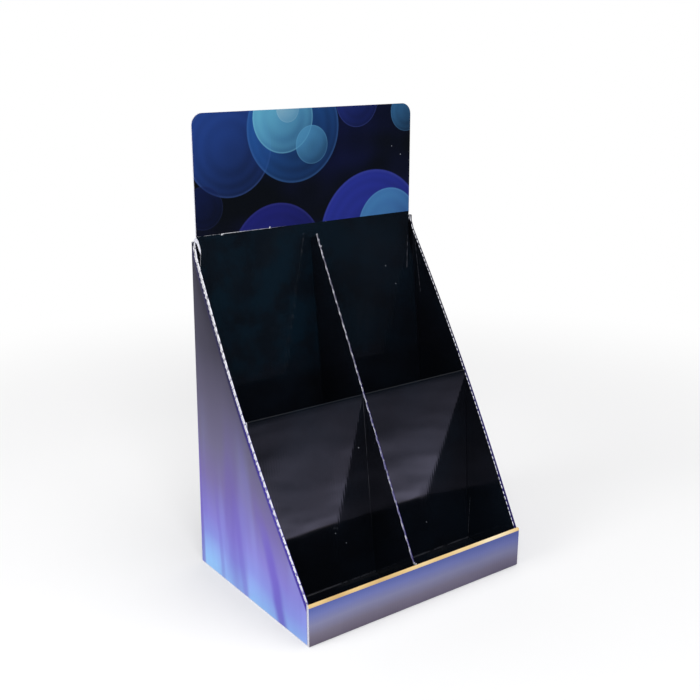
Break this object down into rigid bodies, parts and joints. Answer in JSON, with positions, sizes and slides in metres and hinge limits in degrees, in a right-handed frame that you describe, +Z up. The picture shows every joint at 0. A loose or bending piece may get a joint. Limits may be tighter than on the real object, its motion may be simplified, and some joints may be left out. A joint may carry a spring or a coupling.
{
  "type": "counter display box",
  "caption": "Two-tier cardboard counter display box with slanted side walls, a centre divider, a front lip and a header panel.",
  "frame": {"origin": "middle of the base's underside, on the surface it stands on", "axes": "+Z up, +X to the right of someone facing the display, -Y towards that person"},
  "size_m": [0.316, 0.232, 0.529],
  "materials": {
    "printed_board": "gloss-laminated print, violet to grey",
    "black_board": "gloss-laminated black",
    "insert_board": "gloss-laminated black and navy"
  },
  "bodies": {
    "root": {"outer_tray": "printed_board", "left_liner": "black_board", "right_liner": "black_board", "stepped_insert": "insert_board", "centre_divider": "black_board"}
  },
  "joints": []
}
